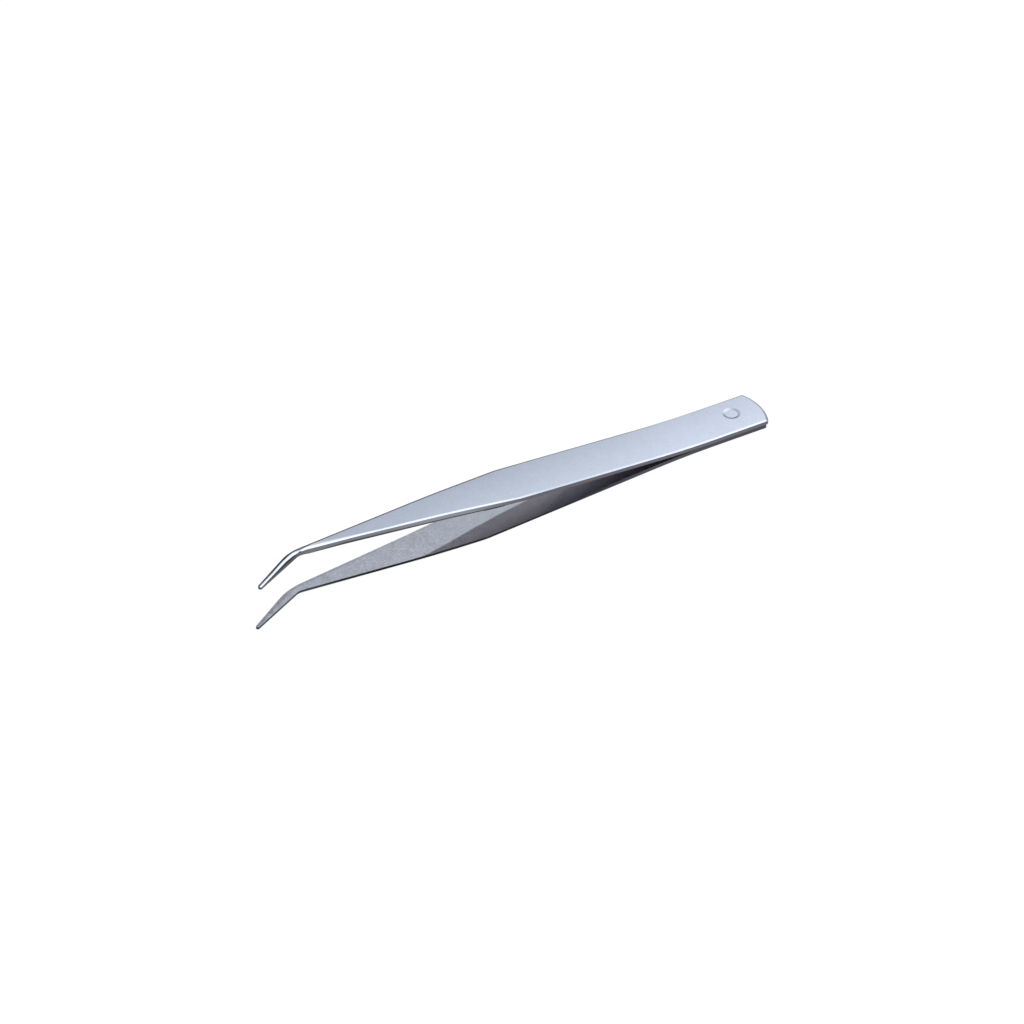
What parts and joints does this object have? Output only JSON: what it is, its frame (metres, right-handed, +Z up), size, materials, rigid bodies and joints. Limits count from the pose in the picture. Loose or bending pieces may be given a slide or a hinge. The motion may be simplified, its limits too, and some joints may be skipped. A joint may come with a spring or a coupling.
{
  "type": "tweezers",
  "caption": "Stainless steel tweezers: flat arms welded at the tail, long taper from a shoulder, fine tips bent to one side.",
  "frame": {"origin": "middle of the footprint, on the surface that the lower arm lies on", "axes": "+X towards the welded tail, +Y away from the side the tips are bent to, +Z up, from the lower arm to the upper one"},
  "size_m": [0.125, 0.0128, 0.013],
  "materials": {
    "stainless_steel": "fine satin, with bright ground edges"
  },
  "bodies": {
    "root": {"upper_arm": "stainless_steel", "lower_arm": "stainless_steel"}
  },
  "joints": []
}
